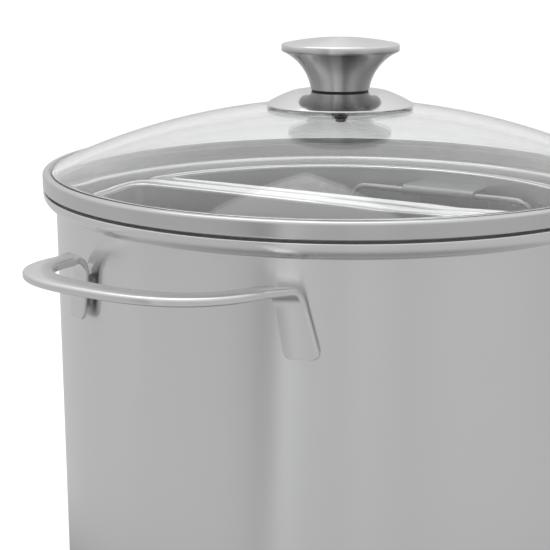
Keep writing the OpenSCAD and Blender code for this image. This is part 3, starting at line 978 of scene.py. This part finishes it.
# Grey panels that only metal sees, as (turns from -X, tone): upright ones in the surround, then painted
# reflections that the floor glows with
SKY_PANELS = [(0.0, 0.44), (0.012, 0.5), (0.028, 0.76), (0.05, 0.68), (0.084, 0.62), (0.12, 0.68),
              (0.16, 0.62), (0.22, 0.66), (0.32, 0.58), (0.45, 0.66), (0.75, 0.62), (0.83, 0.78),
              (0.9, 0.68), (0.955, 0.6), (0.985, 0.5), (1.0, 0.44)]
FLOOR_PAINTED_REFLECTIONS = [(0.0, 0.46), (0.008, 0.36), (0.021, 0.38), (0.034, 0.7), (0.042, 0.67), (0.056, 0.57),
                (0.085, 0.53), (0.108, 0.58), (0.15, 0.53), (0.2, 0.565), (0.26, 0.565), (0.33, 0.52),
                (0.5, 0.6), (0.72, 0.59), (0.8, 0.57), (0.86, 0.57), (0.88, 0.54), (0.94, 0.535),
                (0.975, 0.52), (1.0, 0.46)]
# Tone of the painted reflection that the floor glows with near the pot
FLOOR_NEAR = 0.6
SKY_TOP = 0.98
SEEN_DIRECTLY = 1.13


def mirrored_rays(finish):
    """1 for what metal mirrors straight from the studio, 0 for what is seen directly or through glass."""
    path = finish.node("ShaderNodeLightPath", output="Is Glossy Ray")
    through = Value(finish, path.socket.node.outputs["Is Transmission Ray"])
    return path * (1 - through)


def floor_sheet():
    """White paper. Metal sees it glow instead, with painted reflections of grey panels round the pot and a
    painted shadow close to the pot.
    """
    bm = bmesh.new()
    bmesh.ops.create_grid(bm, x_segments=8, y_segments=8, size=6)
    mesh = bpy.data.meshes.new("studio_floor")
    bm.to_mesh(mesh)
    bm.free()
    paper = Finish("pale_paper_and_painted_reflections", Roughness=0.9, Specular_IOR_Level=0.1, Emission_Strength=1.0)
    paper.material.cycles.emission_sampling = "NONE"
    grain = paper.noise(paper.place(), 180.0, 3.0, 0.5)
    pale = paper.mixed(grain, (0.94, 0.94, 0.94, 1), (0.97, 0.97, 0.97, 1))
    black = (0, 0, 0, 1)
    near = (FLOOR_NEAR, FLOOR_NEAR, FLOOR_NEAR, 1)
    across, along, _ = paper.parts_of(paper.place())
    radius = (across * across + along * along) ** 0.5
    # Painted shadow: what metal sees of the floor darkens towards the pot
    painted_floor_shadow = paper.ranged(radius, 0.16, 0.34, 0.3, 1.0)
    outer = paper.ranged(radius, 0.45, 0.95, 0.25, 1.0)
    panels = paper.mixed(outer, near, by_bearing(paper, across, along, FLOOR_PAINTED_REFLECTIONS))
    mirrored = mirrored_rays(paper)
    # The camera sees pale paper; metal sees only the glow of painted reflections and painted shadow
    paper.feed("Base Color", paper.mixed(mirrored, pale, black))
    paper.feed("Emission Color", paper.mixed(mirrored, black, paper.mixed(painted_floor_shadow, black, panels)))
    mesh.materials.append(paper.material)
    sheet = bpy.data.objects.new("studio_floor", mesh)
    bpy.context.scene.collection.objects.link(sheet)


def softbox(name, place, size, power, aim=(0, 0, 0.2)):
    light = bpy.data.lights.new(name, "AREA")
    light.shape = "RECTANGLE"
    light.size, light.size_y = size
    light.energy = power
    lamp = bpy.data.objects.new(name, light)
    bpy.context.scene.collection.objects.link(lamp)
    lamp.location = place
    lamp.rotation_euler = (Vector(aim) - Vector(place)).to_track_quat("-Z", "Y").to_euler()


class Sky(Finish):
    """The studio around the pot, built with the same node calls."""

    def __init__(self, name):
        self.world = bpy.data.worlds.new(name)
        self.world.use_nodes = True
        self.world.cycles.sampling_method = "NONE"
        self.tree = self.world.node_tree
        self.shader = self.tree.nodes["Background"]


def studio_sky():
    """White surround, which polished metal sees as bright above and grey at eye level in front."""
    sky = Sky("studio")
    bpy.context.scene.world = sky.world
    way = sky.node("ShaderNodeTexCoord", output="Generated")
    across, along, up = sky.parts_of(way)
    panels = by_bearing(sky, across, along, SKY_PANELS)
    lift = sky.ranged(up, 0.05, 0.75, 0.0, 1.0)
    seen = lift * SKY_TOP + (1 - lift) * panels
    mirrored = mirrored_rays(sky)
    sky.feed("Strength", mirrored * seen + (1 - mirrored) * SEEN_DIRECTLY)
    sky.shader.inputs["Color"].default_value = (1, 1, 1, 1)


CAMERA_TURN = radians(-59.6)
CAMERA_OUT = 0.72195
CAMERA_UP = 0.39378
CAMERA_TILT = radians(13.652)
CAMERA_SWING = radians(2.724)
LENS = 89.1


def camera():
    lens = bpy.data.cameras.new("camera")
    lens.lens = LENS
    lens.sensor_width = 36
    view = bpy.data.objects.new("camera", lens)
    bpy.context.scene.collection.objects.link(view)
    view.location = (CAMERA_OUT * sin(CAMERA_TURN), -CAMERA_OUT * cos(CAMERA_TURN), CAMERA_UP)
    view.rotation_euler = (pi / 2 - CAMERA_TILT, 0, CAMERA_TURN + CAMERA_SWING)
    bpy.context.scene.camera = view


floor_sheet()
studio_sky()
softbox("overhead", (0.1, 0.3, 1.8), (1.4, 1.4), 6)
camera()
bpy.context.scene.view_settings.view_transform = "Standard"
